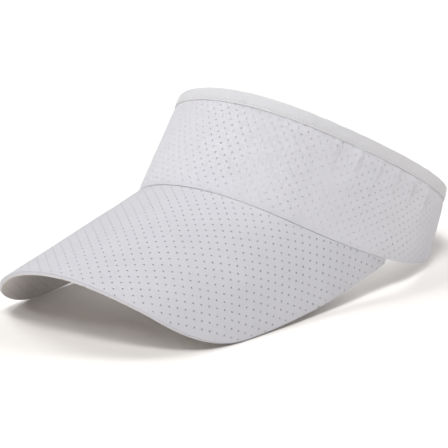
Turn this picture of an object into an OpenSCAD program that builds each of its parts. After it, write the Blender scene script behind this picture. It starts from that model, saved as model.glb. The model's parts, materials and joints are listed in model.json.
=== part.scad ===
// Sun visor with a perforated cloth crown, a long arched bill and a hook-and-loop closure.
// The visor is worked out upright, with its reference plane level, and is then tipped back
// onto the three places that carry it: both low sides of the bill and the crown's rear edge.
// An angle on the crown is 0 at the front, 90 at +X and 180 at the rear. An offset is a
// distance inwards from the outer face of the crown.

/* [Crown] */
// Length of the crown from front to back, outside
crown_length = 206; // [196:1:216]
// Width of the crown from side to side, outside
crown_width = 156; // [148:1:166]
// Radius of the crown's front and rear arcs, seen from above
crown_end_r = 66; // [62:1:70]
// Height of the top edge above the reference plane at the front
top_front = 56; // [54:0.5:64]
// Height of the top edge at the sides
top_side = 47.5; // [45:0.5:52]
// Height of the top edge at the rear
top_rear = 47.5; // [46:0.5:50]
// Height of the lower edge at the front
edge_front = -4.5; // [-8:0.5:0]
// Height of the lower edge at the sides
edge_side = -11; // [-14:0.5:-8]
// Height to which the lower edge rises at the rear
edge_rear = 18.5; // [16:0.5:19]
// Lean of the crown's front towards the head, in degrees
lean_front = 12.5; // [6:0.5:16]
// Angle at which the lean has faded out
lean_end = 140; // [130:1:145]
// Angle at which the crown's cloth ends on each side of the rear gap
crown_end = 150; // [149:1:151]

/* [Bill] */
// Radius of the bill's arch
bill_r = 78.5; // [76:0.5:84]
// Angle at which the bill's ridge drops below the reference plane
bill_drop = 38; // [30:1:42]
// Length of the bill along its ridge
bill_length = 119; // [100:1:125]
// Height of the ridge where it leaves the crown
ridge_height = -2.5; // [-4:0.5:-2]
// Radius of the bill's front edge, in the flat pattern
front_r = 145; // [130:1:170]
// Half of the angle that the front edge turns through
front_half = 25; // [20:1:30]
// Radius of the bill's front corners, in the flat pattern
corner_r = 68; // [50:1:75]
// Direction of the side edge where the corner ends
corner_end = 77; // [74:1:80]
// Angle at which the bill ends on the crown's lower edge
bill_end = 86; // [80:1:88]
// Width of the bill's blunt ends
bill_tip = 2.5; // [2:0.5:4]

/* [Cloth and foam] */
// Thickness of the perforated crown panel
panel_t = 0.5; // [0.4:0.05:0.5]
// Thickness of each bill cover
cover_t = 0.5; // [0.3:0.05:0.6]
// Thickness of the bill's foam board
board_t = 1.4; // [1.2:0.1:2]
// Gap left between two layers that are sewn or glued together
layer_gap = 0.05; // [0.02:0.01:0.1]
// Height of the top binding
binding_h = 7.5; // [6:0.5:8]
// Height of the sweatband
sweatband_h = 26; // [22:1:28]
// Angle to which the sweatband's foam reaches on each side
foam_end = 70; // [50:1:80]
// Diameter of the sewing thread
thread_d = 0.3; // [0.2:0.05:0.35]

/* [Closure] */
// Height of the lower edge of both straps
strap_low = 20.5; // [20.5:0.5:21]
// Width of both straps
strap_w = 24; // [22:1:25]
// Width of the hook and loop tapes
tape_w = 20; // [16:1:20]
// Thickness of the strap webbing
strap_t = 0.8; // [0.6:0.1:0.9]
// Corner radius of the strap ends
strap_corner_r = 6; // [3:1:8]
// Angle at which the hook strap bends when it is peeled off
peel_angle = 150.9; // [150.5:0.1:151]
// Angle of the hook strap's free end
hook_tip = 206; // [204:1:208]
// Angle of the loop strap's free end
loop_tip = 160.5; // [160:0.5:163]
// Angle of the loop strap's inner end, inside the sweatband
loop_root = 220; // [218:1:220]

/* [Label] */
// Width of the sewn-in label
label_w = 20; // [14:1:20]
// Length of the sewn-in label
label_l = 22; // [14:1:22]

/* [Rest pose] */
// Angle by which the visor is tipped back onto its rear edge
rest_tilt = 24.75; // [22:0.05:27]

/* [Hidden] */

// Colours of the cloth, thread and foam
panel_colour = "#e3e3e8";
cover_colour = "#dadae1";
binding_colour = "#e6e6ea";
lining_colour = "#efeff1";
board_colour = "#f2f2f0";
towel_colour = "#f0f0f0";
thread_colour = "#c9c9cf";
tape_colour = "#d4d4da";

// Steps of the curved sheets, chosen so that a facet strays under 0.05 mm from the true curve
ring_step = 2.5;
bill_columns = 48;
bill_rows = 10;
$fn = 144;

// Plan of the crown: arcs at the front and rear, and flatter arcs at the sides
half_l = crown_length / 2;
half_w = crown_width / 2;
end_c = half_l - crown_end_r;
side_r = (half_w ^ 2 + end_c ^ 2 - crown_end_r ^ 2) / (2 * (half_w - crown_end_r));
side_c = side_r - half_w;
join_angle = atan2(side_c, end_c);

// Offsets of the crown's layers, from its outer face inwards
stiffener_out = panel_t + layer_gap;
stiffener_in = stiffener_out + 0.4;
lining_out = stiffener_in + layer_gap;
lining_in = lining_out + 0.35;
binding_t = 0.4;
binding_out = -(binding_t + layer_gap);
binding_in = lining_in + layer_gap + binding_t;
tape_out = lining_in + 0.1;
tape_in = tape_out + 0.75;
foam_out = tape_in + 0.5;
foam_in = foam_out + 0.9;
band_out = foam_in + layer_gap;
band_in = band_out + 0.8;
fold_t = 0.7;

// Angle at which the front stiffener ends, a whole number of steps from the crown's end
stiffener_end = crown_end - 35 * ring_step;
// Angle at which the binding's stitching stops, short of the hook strap
binding_thread_end = 141;
// Least air between threads and the cloth under them
thread_air = 0.1;

// Radii of the closure's layers about the rear arc's axis, from the outside inwards
hook_out = crown_end_r + 1.6;
hook_in = hook_out - strap_t;
hook_tape_out = hook_in - layer_gap;
hook_tape_in = hook_tape_out - 1;
closure_gap = 0.35;
loop_tape_out = hook_tape_in - closure_gap;
loop_tape_in = loop_tape_out - 1.4;
loop_out = loop_tape_in - layer_gap;
loop_in = loop_out - strap_t;
hinge_gap = 0.7;
root_length = 9;
tape_low = strap_low + (strap_w - tape_w) / 2;
bartack_margin = 2;
hook_tape_start = 163;
hook_tape_end = 203;
loop_tape_start = 162.5;
loop_tape_end = 198.5;

// Height that runs as a smooth curve from the front over the sides to the rear
function along(front, side, rear, y) =
    side + (rear - front) / 2 * y + ((rear + front) / 2 - side) * y ^ 2;

// Centre and radius of the plan arc at an angle
function arc_centre(a) =
    abs(a) <= join_angle ? [0, -end_c]
    : abs(a) >= 180 - join_angle ? [0, end_c]
    : [-sign(a) * side_c, 0];
function arc_radius(a) =
    abs(a) <= join_angle || abs(a) >= 180 - join_angle ? crown_end_r : side_r;
function lean(a) =
    abs(a) < lean_end ? tan(lean_front) * cos(abs(a) * 90 / lean_end) ^ 2 : 0;

// Point on the crown at an angle, a height and an offset
function wall(a, h, off = 0) =
    let (c = arc_centre(a), r = arc_radius(a) - h * lean(a) - off)
    [c.x + r * sin(a), c.y - r * cos(a), h];
function plan_y(a) = wall(a, 0).y / half_l;
function top_h(a) = along(top_front, top_side, top_rear, plan_y(a));
function edge_h(a) = along(edge_front, edge_side, edge_rear, plan_y(a));

// Bill coordinates: distance across the arch, distance along the ridge, height off the arch
function to_bill(p) =
    let (y = p.y + half_l, z = p.z - ridge_height,
         rise = bill_r - y * sin(bill_drop) + z * cos(bill_drop))
    [bill_r * atan2(p.x, rise) * PI / 180,
     -y * cos(bill_drop) - z * sin(bill_drop),
     norm([p.x, rise]) - bill_r];
function from_bill(q) =
    let (a = q[0] / bill_r * 180 / PI, r = bill_r + q[2], rise = r * cos(a) - bill_r)
    [r * sin(a),
     -half_l - q[1] * cos(bill_drop) - rise * sin(bill_drop),
     ridge_height - q[1] * sin(bill_drop) + rise * cos(bill_drop)];

// Flat pattern of the bill's outer edge: a front arc, a corner arc and a side arc on each side
function heading(a) = [sin(a), cos(a)];
seam_gap = 0.25;
function seam(u) = to_bill(wall(u * bill_end, edge_h(u * bill_end) - seam_gap));
seam_end = seam(1);
front_centre = [0, bill_length - front_r];
corner_centre = front_centre + (front_r - corner_r) * heading(front_half);
corner_stop = corner_centre + corner_r * heading(corner_end);
tip_heading = 68;
tip_point = [seam_end[0], seam_end[1]] + bill_tip * heading(tip_heading);
side_chord = tip_point - corner_stop;
edge_side_r = side_chord * side_chord / (-2 * side_chord * heading(corner_end));
side_centre = corner_stop - edge_side_r * heading(corner_end);
side_turn = 2 * asin(norm(side_chord) / (2 * edge_side_r));
front_run = front_r * front_half * PI / 180;
corner_run = corner_r * (corner_end - front_half) * PI / 180;
side_run = edge_side_r * side_turn * PI / 180;
function edge_half(d) =
    d < front_run ? front_centre + front_r * heading(d / front_r * 180 / PI)
    : d < front_run + corner_run
    ? corner_centre + corner_r * heading(front_half + (d - front_run) / corner_r * 180 / PI)
    : side_centre
      + edge_side_r * heading(corner_end + (d - front_run - corner_run) / edge_side_r * 180 / PI);
function edge(u) =
    let (p = edge_half(abs(u) * (front_run + corner_run + side_run)))
    [sign(u) * p.x, p.y];

// Bill surface: u runs from side to side, v from the crown's seam to the outer edge
function bill_surface(u, v) =
    let (a = seam(u), b = edge(u))
    from_bill([a[0] + (b.x - a[0]) * v, a[1] + (b.y - a[1]) * v, a[2] * (1 - v) ^ 2]);
function unit(p) = p / norm(p);
function bill_normal(u, v, e = 0.01) =
    let (du = bill_surface(min(u + e, 1), v) - bill_surface(max(u - e, -1), v),
         dv = bill_surface(u, min(v + e, 1)) - bill_surface(u, max(v - e, 0)))
    unit(cross(dv, du));
function bill_point(u, v, depth) = bill_surface(u, v) - depth * bill_normal(u, v);

// A point after the visor is tipped back
function tipped(p) =
    [p.x, p.y * cos(rest_tilt) + p.z * sin(rest_tilt),
     p.z * cos(rest_tilt) - p.y * sin(rest_tilt)];
board_top = cover_t + layer_gap;
board_low = board_top + board_t;
cover_low = board_low + layer_gap;
board_edge = [for (i = [0 : bill_columns], d = [board_top, board_low])
              tipped(bill_point(2 * i / bill_columns - 1, 1, d))];
bill_rest = min([for (p = board_edge) p.z]);
crown_rest = tipped(wall(crown_end, edge_h(crown_end))).z;
lift = -min(bill_rest, crown_rest);
front_reach = min([for (p = board_edge) p.y]);
rear_reach = tipped([0, end_c + hook_out, strap_low + strap_w]).y;
shift = -(front_reach + rear_reach) / 2;

// Everything is drawn upright and set down here in its rest pose
module rest() {
    translate([0, shift, lift]) rotate([-rest_tilt, 0, 0]) children();
}

// Solid through a row of closed outlines that all have the same number of points. An outline
// goes out along one face and back along the other, so its second half gets the other diagonal:
// two layers that lie on each other then share their facets.
module loft(outlines) {
    count = len(outlines[0]);
    last = len(outlines) - 1;
    sides = [for (i = [0 : last - 1], j = [0 : count - 1])
             let (a = i * count + j, b = i * count + (j + 1) % count)
             each (2 * j < count
                   ? [[a, a + count, b + count], [a, b + count, b]]
                   : [[a, a + count, b], [b, a + count, b + count]])];
    start_cap = [for (j = [0 : count - 1]) j];
    end_cap = [for (j = [count - 1 : -1 : 0]) last * count + j];
    polyhedron(points = [for (o = outlines) each o], faces = concat(sides, [start_cap, end_cap]));
}

// Solid swept round the crown; section(a) lists [offset, height] points at angle a
module crown_sweep(end, section) {
    steps = ceil(2 * end / ring_step);
    rest() loft([for (i = [0 : steps])
                 let (a = -end + 2 * end * i / steps)
                 [for (p = section(a)) wall(a, p[1], p[0])]]);
}

// Section of a plain layer of cloth between two offsets and two heights
function strip(out, in, low, high) = [[in, low], [in, high], [out, high], [out, low]];

// Thread that runs round the crown, lying on the face at an offset
module crown_thread(end, out, height) {
    crown_sweep(end, function(a) strip(out, out + thread_d,
                                       height(a), height(a) + thread_d));
}

// One layer of the bill, between two depths, cut back from the outer edge by an inset
module bill_layer(top, low, inset) {
    rest() loft([for (i = [0 : bill_columns])
                 let (u = 2 * i / bill_columns - 1,
                      a = seam(u),
                      reach = 1 - inset / norm(edge(u) - [a[0], a[1]]),
                      rows = [for (j = [0 : bill_rows]) min(j / bill_rows, reach)])
                 [for (j = [bill_rows : -1 : 0]) bill_point(u, rows[j], low),
                  for (j = [0 : bill_rows]) bill_point(u, rows[j], top)]]);
}

// Part of a round shell about the rear arc's axis
module rear_arc(out, in, from, to, low, high) {
    translate([0, end_c, low]) rotate([0, 0, from - 90])
        rotate_extrude(angle = to - from) translate([in, 0]) square([out - in, high - low]);
}

// Everything on one side of a rounded strap end; side is 1 where the strap ends at a larger angle
module strap_end(tip, side) {
    reach = 100;
    translate([0, end_c, 0]) rotate([0, 0, tip - 90]) scale([1, side, 1]) rotate([90, 0, 90])
        linear_extrude(reach) {
            translate([-reach, strap_low + strap_corner_r])
                square([reach, strap_w - 2 * strap_corner_r]);
            translate([-reach, strap_low]) square([reach - strap_corner_r, strap_w]);
            for (z = [strap_corner_r, strap_w - strap_corner_r])
                translate([-strap_corner_r, strap_low + z]) circle(strap_corner_r);
        }
}

// Rectangle of thread on the face of a strap
module thread_frame(face, out, from, to) {
    inset = 1.2;
    turn = inset / face * 180 / PI;
    wide = (thread_d + inset) / face * 180 / PI;
    difference() {
        rear_arc(max(face, out), min(face, out), from + turn, to - turn,
                 tape_low + inset, tape_low + tape_w - inset);
        rear_arc(max(face, out) + 1, min(face, out) - 1, from + wide, to - wide,
                 tape_low + inset + thread_d, tape_low + tape_w - inset - thread_d);
    }
}

// Dense row of stitches across a strap's sewn end, up to a height
module bartack(at, face, high) {
    bar_w = 2;
    bar_t = 0.45;
    half = bar_w / 2 / face * 180 / PI;
    rear_arc(face + layer_gap + bar_t, face + layer_gap, at - half, at + half,
             strap_low + bartack_margin, high);
}

// ---- Crown ----

module crown_panel() {
    color(panel_colour) crown_sweep(crown_end, function(a) strip(0, panel_t, edge_h(a), top_h(a)));
}

module front_stiffener() {
    below_top = 2;
    color(lining_colour)
        crown_sweep(stiffener_end, function(a) strip(stiffener_out, stiffener_in,
                                                     edge_h(a) + 1, top_h(a) - below_top));
}

module crown_lining() {
    trim = 0.3;
    color(lining_colour)
        crown_sweep(crown_end, function(a) strip(lining_out, lining_in,
                                                 edge_h(a) + trim, top_h(a) - trim));
}

module top_binding() {
    over = 0.1;
    fold = binding_t + over;
    bevel = 0.4;
    color(binding_colour)
        crown_sweep(crown_end, function(a) let (h = top_h(a)) [
            [lining_in + layer_gap, h + over], [lining_in + layer_gap, h - binding_h],
            [binding_in, h - binding_h], [binding_in, h + fold - bevel],
            [binding_in - bevel, h + fold], [binding_out + bevel, h + fold],
            [binding_out, h + fold - bevel], [binding_out, h - binding_h],
            [-layer_gap, h - binding_h], [-layer_gap, h + over]]);
}

module top_binding_stitching() {
    above = 1;
    color(thread_colour)
        crown_thread(binding_thread_end, binding_out - thread_d - thread_air,
                     function(a) top_h(a) - binding_h + above);
}

module seam_tape() {
    tape_low_h = 0.9;
    tape_high_h = 9;
    color(binding_colour)
        crown_sweep(bill_end, function(a) strip(tape_out, tape_in,
                                                edge_h(a) + tape_low_h, edge_h(a) + tape_high_h));
}

module bill_seam_stitching() {
    above = 4;
    color(thread_colour)
        crown_thread(bill_end, tape_in + thread_air / 2, function(a) edge_h(a) + above);
}

module sweatband() {
    trim = 0.1;
    color(towel_colour)
        crown_sweep(crown_end, function(a) let (h = edge_h(a)) [
            [tape_out, h + trim], [band_in, h + trim], [band_in, h + sweatband_h],
            [band_out, h + sweatband_h], [band_out, h + trim + fold_t],
            [tape_out, h + trim + fold_t]]);
}

module sweatband_foam() {
    margin = 2;
    color(board_colour)
        crown_sweep(foam_end, function(a) strip(foam_out, foam_in, edge_h(a) + margin / 2,
                                                edge_h(a) + sweatband_h - margin));
}

module sweatband_stitching() {
    above = 2.2;
    color(thread_colour)
        crown_thread(crown_end, band_in + thread_air, function(a) edge_h(a) + above);
}

// ---- Bill ----

cover_inset = 0.4;

module bill_top_cover() {
    color(cover_colour) bill_layer(0, cover_t, cover_inset);
}

module bill_core() {
    color(board_colour) bill_layer(board_top, board_low, 0);
}

module bill_under_cover() {
    color(cover_colour) bill_layer(cover_low, cover_low + cover_t, cover_inset);
}

// ---- Closure ----

// Half of the bend between the hook strap's sewn end and the part that peels off
peel_turn = hinge_gap / hook_out * 180 / PI;

module hook_strap_root() {
    length = root_length / hook_out * 180 / PI;
    color(binding_colour) rest()
        rear_arc(hook_out, hook_in, peel_angle - peel_turn - length, peel_angle - peel_turn,
                 strap_low, strap_low + strap_w);
}

module hook_strap_bartack() {
    before = 4;
    color(thread_colour) rest()
        bartack(peel_angle - before, hook_out, strap_low + strap_w - bartack_margin);
}

module loop_strap_bartack() {
    inside = 3;
    color(thread_colour) rest()
        bartack(360 - crown_end + inside, crown_end_r, top_rear - binding_h - 1);
}

module hook_strap() {
    color(binding_colour) rest() intersection() {
        rear_arc(hook_out, hook_in, peel_angle + peel_turn, hook_tip + 1,
                 strap_low, strap_low + strap_w);
        strap_end(hook_tip, 1);
    }
}

module hook_tape() {
    color(tape_colour) rest()
        rear_arc(hook_tape_out, hook_tape_in, hook_tape_start, hook_tape_end,
                 tape_low, tape_low + tape_w);
}

module hook_tape_stitching() {
    face = hook_out + thread_air / 2;
    color(thread_colour) rest()
        thread_frame(face, face + thread_d, hook_tape_start, hook_tape_end);
}

module loop_strap() {
    color(binding_colour) rest() intersection() {
        rear_arc(loop_out, loop_in, loop_tip - 1, loop_root, strap_low, strap_low + strap_w);
        strap_end(loop_tip, -1);
    }
}

module loop_tape() {
    color(tape_colour) rest()
        rear_arc(loop_tape_out, loop_tape_in, loop_tape_start, loop_tape_end,
                 tape_low, tape_low + tape_w);
}

module loop_tape_stitching() {
    face = loop_in - thread_air / 2;
    color(thread_colour) rest()
        thread_frame(face, face - thread_d, loop_tape_start, loop_tape_end);
}

// ---- Label ----

label_t = 0.4;
label_air = 0.95;
label_top = 39.3;
label_x = wall(-90, label_top, lining_in + label_air).x;
// How far the crown's inner face bows in over the width of the flat label
label_bow = 0.9;

module care_label() {
    color("#f7f7f7") rest()
        translate([label_x, -label_w / 2, label_top - label_l]) cube([label_t, label_w, label_l]);
}

module label_stitching() {
    above = 1.2;
    margin = 1;
    stitch_x = wall(-90, label_top + above, binding_in).x + label_bow;
    color(thread_colour) rest()
        translate([stitch_x, -label_w / 2 + margin, label_top + above])
            cube([thread_d, label_w - 2 * margin, 2 * thread_d]);
}

crown_panel();
front_stiffener();
crown_lining();
top_binding();
top_binding_stitching();
seam_tape();
bill_seam_stitching();
sweatband();
sweatband_foam();
sweatband_stitching();
bill_top_cover();
bill_core();
bill_under_cover();
hook_strap_root();
hook_strap_bartack();
loop_strap_bartack();
hook_strap();
hook_tape();
hook_tape_stitching();
loop_strap();
loop_tape();
loop_tape_stitching();
label_stitching();
care_label();
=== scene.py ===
"""The looks of a sun visor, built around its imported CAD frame.

Blender works in metres. The shape functions work in millimetres and degrees, in the visor's
upright frame, and to_world() sets their points down in the frame's rest pose. An angle on the
crown is 0 at the front, 90 at +X and 180 at the rear; a depth is a distance inwards from the
outer face. A flat pattern is (distance along the cloth, height or reach), in millimetres.
"""

import json
import math

import bpy
import numpy as np
from mathutils import Matrix, Vector
from mathutils.geometry import delaunay_2d_cdt


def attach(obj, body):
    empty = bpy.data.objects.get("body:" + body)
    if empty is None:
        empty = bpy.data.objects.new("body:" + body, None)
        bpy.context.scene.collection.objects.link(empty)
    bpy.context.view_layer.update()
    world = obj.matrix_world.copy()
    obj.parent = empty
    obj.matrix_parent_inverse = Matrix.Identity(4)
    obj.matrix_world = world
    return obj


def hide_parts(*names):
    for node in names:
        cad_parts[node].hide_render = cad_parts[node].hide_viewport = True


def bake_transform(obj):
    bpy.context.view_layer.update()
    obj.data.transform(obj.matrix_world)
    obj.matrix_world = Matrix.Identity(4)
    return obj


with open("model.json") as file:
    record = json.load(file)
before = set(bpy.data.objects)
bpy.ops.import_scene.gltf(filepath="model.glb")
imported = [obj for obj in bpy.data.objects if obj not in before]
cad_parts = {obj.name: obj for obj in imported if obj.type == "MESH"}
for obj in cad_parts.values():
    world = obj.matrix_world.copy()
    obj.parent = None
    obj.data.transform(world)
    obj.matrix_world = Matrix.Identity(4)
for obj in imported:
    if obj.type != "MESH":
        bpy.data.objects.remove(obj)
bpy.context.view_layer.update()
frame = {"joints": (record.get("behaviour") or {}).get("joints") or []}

# ---- Dimensions of the CAD part, in millimetres and degrees ----

MM = 0.001
CROWN_LENGTH, CROWN_WIDTH, CROWN_END_R = 206, 156, 66
TOP_HEIGHTS = (56, 47.5, 47.5)
EDGE_HEIGHTS = (-4.5, -11, 18.5)
LEAN_FRONT, LEAN_END, CROWN_END = 12.5, 140, 150
BILL_R, BILL_DROP, BILL_LENGTH, RIDGE_HEIGHT = 78.5, 38, 119, -2.5
FRONT_R, FRONT_HALF, CORNER_R, CORNER_END = 145, 25, 68, 77
BILL_END, BILL_TIP, TIP_HEADING, SEAM_GAP = 86, 2.5, 68, 0.25
BINDING_H, SWEATBAND_H = 7.5, 26
STRAP_LOW, STRAP_W, STRAP_T, STRAP_CORNER_R = 20.5, 24, 0.8, 6
PEEL_ANGLE, HOOK_TIP, LOOP_TIP, LOOP_ROOT = 150.9, 206, 160.5, 220
HOOK_ROOT = 142.7
HOOK_TAPE, LOOP_TAPE = (163, 203), (162.5, 198.5)
TAPE_LOW, TAPE_W = 22.5, 20
LABEL_W, LABEL_L, LABEL_TOP = 20, 22, 39.3

# Depths of the layers, from the crown's outer face inwards
PANEL_T, STIFFENER_OUT, STIFFENER_IN, LINING_OUT, LINING_IN = 0.5, 0.55, 0.95, 1.0, 1.35
SEAM_TAPE_OUT, SEAM_TAPE_IN, FOAM_OUT, FOAM_IN = 1.7, 2.15, 2.72, 3.56
HOOK_STRAP_OUT, HOOK_TAPE_OUT, LOOP_STRAP_OUT, TAPE_T = -1.6, -0.75, 2.05, 0.35

STITCH_PITCH, STITCH_L, STITCH_R = 2.6, 2.0, 0.19

HALF_L, HALF_W = CROWN_LENGTH / 2, CROWN_WIDTH / 2
END_C = HALF_L - CROWN_END_R
SIDE_R = (HALF_W**2 + END_C**2 - CROWN_END_R**2) / (2 * (HALF_W - CROWN_END_R))
SIDE_C = SIDE_R - HALF_W
JOIN = math.degrees(math.atan2(SIDE_C, END_C))

# ---- Shape functions ----


def sin(a):
    return np.sin(np.radians(a))


def cos(a):
    return np.cos(np.radians(a))


def unit(v):
    return v / np.linalg.norm(v, axis=-1, keepdims=True)


def along(heights, a):
    """Height that runs as a smooth curve from the front over the sides to the rear."""
    front, side, rear = heights
    y = wall(a, 0)[..., 1] / HALF_L
    return side + (rear - front) / 2 * y + ((rear + front) / 2 - side) * y**2


def lean(a):
    fade = cos(np.minimum(np.abs(a), LEAN_END) * 90 / LEAN_END)
    return math.tan(math.radians(LEAN_FRONT)) * fade**2


def wall(a, h, depth=0.0):
    """Points on the crown at an angle, a height and a depth."""
    a, h = np.broadcast_arrays(np.asarray(a, float), np.asarray(h, float))
    rear = np.abs(a) >= 180 - JOIN
    side = np.where((np.abs(a) > JOIN) & ~rear, np.sign(a), 0)
    r = np.where(side != 0, SIDE_R, CROWN_END_R) - h * lean(a) - depth
    centre_y = np.where(side != 0, 0, np.where(rear, END_C, -END_C))
    return np.stack([r * sin(a) - side * SIDE_C, centre_y - r * cos(a), h], -1)


def top_h(a):
    return along(TOP_HEIGHTS, a)


def edge_h(a):
    return along(EDGE_HEIGHTS, a)


# Distance round the crown at its joins between arcs, and on past the rear
ARC_ANGLES = np.array([0, JOIN, 180 - JOIN, 270])
ARC_STEPS = np.radians(np.diff(ARC_ANGLES)) * [CROWN_END_R, SIDE_R, CROWN_END_R]
ARC_LENGTHS = np.concatenate([[0], np.cumsum(ARC_STEPS)])


def crown_angle(s):
    return np.sign(s) * np.interp(np.abs(s), ARC_LENGTHS, ARC_ANGLES)


def crown_s(a):
    return np.sign(a) * np.interp(np.abs(a), ARC_ANGLES, ARC_LENGTHS)


def on_crown(flat):
    """Points on the crown's outer face, and the direction inwards."""
    a = crown_angle(flat[..., 0])
    return wall(a, flat[..., 1]), np.stack([-sin(a), cos(a), 0 * a], -1)


def to_bill(p):
    """Bill coordinates: distance across the arch, along the ridge, and height off the arch."""
    y, z = p[..., 1] + HALF_L, p[..., 2] - RIDGE_HEIGHT
    rise = BILL_R - y * sin(BILL_DROP) + z * cos(BILL_DROP)
    across = BILL_R * np.arctan2(p[..., 0], rise)
    reach = -y * cos(BILL_DROP) - z * sin(BILL_DROP)
    return np.stack([across, reach, np.hypot(p[..., 0], rise) - BILL_R], -1)


def from_bill(across, reach, off):
    a = across / BILL_R
    rise = (BILL_R + off) * np.cos(a) - BILL_R
    y = -HALF_L - reach * cos(BILL_DROP) - rise * sin(BILL_DROP)
    z = RIDGE_HEIGHT - reach * sin(BILL_DROP) + rise * cos(BILL_DROP)
    return np.stack([(BILL_R + off) * np.sin(a), y, z], -1)


def heading(a):
    return np.stack([sin(a), cos(a)], -1)


def seam(u):
    a = np.asarray(u, float) * BILL_END
    return to_bill(wall(a, edge_h(a) - SEAM_GAP))


# The bill's outer edge, from the ridge: a front arc, a corner arc and a side arc
FRONT_CENTRE = np.array([0, BILL_LENGTH - FRONT_R])
CORNER_CENTRE = FRONT_CENTRE + (FRONT_R - CORNER_R) * heading(FRONT_HALF)
CORNER_STOP = CORNER_CENTRE + CORNER_R * heading(CORNER_END)
TIP_POINT = seam(1)[:2] + BILL_TIP * heading(TIP_HEADING)
SIDE_CHORD = TIP_POINT - CORNER_STOP
EDGE_SIDE_R = SIDE_CHORD @ SIDE_CHORD / (-2 * SIDE_CHORD @ heading(CORNER_END))
SIDE_CENTRE = CORNER_STOP - EDGE_SIDE_R * heading(CORNER_END)
SIDE_TURN = 2 * math.asin(np.linalg.norm(SIDE_CHORD) / (2 * EDGE_SIDE_R))
FRONT_RUN = FRONT_R * math.radians(FRONT_HALF)
CORNER_RUN = CORNER_R * math.radians(CORNER_END - FRONT_HALF)
HALF_RUN = FRONT_RUN + CORNER_RUN + EDGE_SIDE_R * SIDE_TURN


def bill_edge(u):
    """Flat pattern of the bill's outer edge, from one side (-1) to the other (1)."""
    d = np.abs(u) * HALF_RUN
    front = FRONT_CENTRE + FRONT_R * heading(np.degrees(d / FRONT_R))
    turn = FRONT_HALF + np.degrees((d - FRONT_RUN) / CORNER_R)
    corner = CORNER_CENTRE + CORNER_R * heading(turn)
    turn = CORNER_END + np.degrees((d - FRONT_RUN - CORNER_RUN) / EDGE_SIDE_R)
    side = SIDE_CENTRE + EDGE_SIDE_R * heading(turn)
    on_corner = (d < FRONT_RUN + CORNER_RUN)[..., None]
    p = np.where((d < FRONT_RUN)[..., None], front, np.where(on_corner, corner, side))
    return np.stack([np.sign(u) * p[..., 0], p[..., 1]], -1)


def bill_flat(u, v):
    a = seam(u)
    return a[..., :2] + (bill_edge(u) - a[..., :2]) * np.asarray(v)[..., None]


def bill_surface(u, v):
    p = bill_flat(u, v)
    return from_bill(p[..., 0], p[..., 1], seam(u)[..., 2] * (1 - v) ** 2)


def cross(a, b):
    return a[:, 0] * b[:, 1] - a[:, 1] * b[:, 0]


def bill_uv(flat):
    """Where points of the flat pattern lie between the sides, and from the seam to the edge."""
    grid_u, grid_v = np.meshgrid(np.linspace(-1, 1, 81), np.linspace(0, 1, 25))
    grid = bill_flat(grid_u.ravel(), grid_v.ravel())
    near = [np.argmin(((grid - p) ** 2).sum(1)) for p in flat]
    u, v = grid_u.ravel()[near], grid_v.ravel()[near]
    e = 1e-4
    for _ in range(8):
        off = flat - bill_flat(u, v)
        du = (bill_flat(u + e, v) - bill_flat(u - e, v)) / (2 * e)
        dv = bill_edge(u) - seam(u)[..., :2]
        step_u, step_v = cross(off, dv) / cross(du, dv), cross(du, off) / cross(du, dv)
        u = np.clip(u + np.clip(step_u, -0.05, 0.05), -1, 1)
        v = np.clip(v + np.clip(step_v, -0.2, 0.2), 0, 1)
    return u, v


def on_bill(flat):
    """Points on the bill's top face, and the direction down through it."""
    u, v = bill_uv(flat)
    e = 0.005
    du = bill_surface(np.minimum(u + e, 1), v) - bill_surface(np.maximum(u - e, -1), v)
    dv = bill_surface(u, np.minimum(v + e, 1)) - bill_surface(u, np.maximum(v - e, 0))
    return bill_surface(u, v), unit(np.cross(du, dv))


# The upright frame is set down as the strap's hinge axis says
adjust = next(j for j in frame["joints"] if j["name"] == "size_adjust")
AXIS = np.array(adjust["axis"]) / np.linalg.norm(adjust["axis"])
TURN = np.array([[1, 0, 0], [0, AXIS[2], AXIS[1]], [0, -AXIS[1], AXIS[2]]])
HINGE_HEIGHT = STRAP_LOW + STRAP_W / 2
ORIGIN = np.array(adjust["pos_m"]) - MM * TURN @ [0, END_C, HINGE_HEIGHT]


def to_world(p):
    return MM * np.asarray(p) @ TURN.T + ORIGIN


# ---- Tools for flat patterns ----


def inside(points, outline):
    """Whether points lie inside a closed outline."""
    x, y = points[:, 0:1], points[:, 1:2]
    a, b = outline, np.roll(outline, -1, 0)
    crosses = (a[:, 1] > y) != (b[:, 1] > y)
    span = np.where(b[:, 1] == a[:, 1], 1, b[:, 1] - a[:, 1])
    at = a[:, 0] + (y - a[:, 1]) * (b[:, 0] - a[:, 0]) / span
    return (crosses & (x < at)).sum(1) % 2 == 1


def clearance(points, others):
    """Distance from each point to the nearest of the others."""
    if not len(others):
        return np.full(len(points), 1e9)
    parts = np.array_split(points, max(1, len(points) // 2000))
    nearest = [((p[:, None] - others) ** 2).sum(-1).min(1) for p in parts]
    return np.sqrt(np.concatenate(nearest))


def lattice(outline, at, row, column, margin):
    """Staggered lattice points inside an outline, a margin in from its edge."""
    reach = np.arange(-120, 121)
    i, j = np.meshgrid(reach, reach)
    keep = (i + j) % 2 == 0
    points = np.array(at) + i[keep][:, None] * np.array(row) + j[keep][:, None] * np.array(column)
    low, high = outline.min(0), outline.max(0)
    points = points[((points > low) & (points < high)).all(1)]
    points = points[inside(points, outline)]
    return points[clearance(points, outline) > margin]


def even_fill(outline, step):
    """Points in a triangular grid inside an outline."""
    low, high = outline.min(0), outline.max(0)
    rows = np.arange(low[1], high[1], step * math.sqrt(3) / 2)
    starts = low[0] + np.arange(len(rows)) % 2 * step / 2
    lines = [np.arange(start, high[0], step) for start in starts]
    points = np.array([(x, y) for line, y in zip(lines, rows, strict=True) for x in line])
    points = points[inside(points, outline)]
    return points[clearance(points, outline) > step * 0.6]


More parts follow.
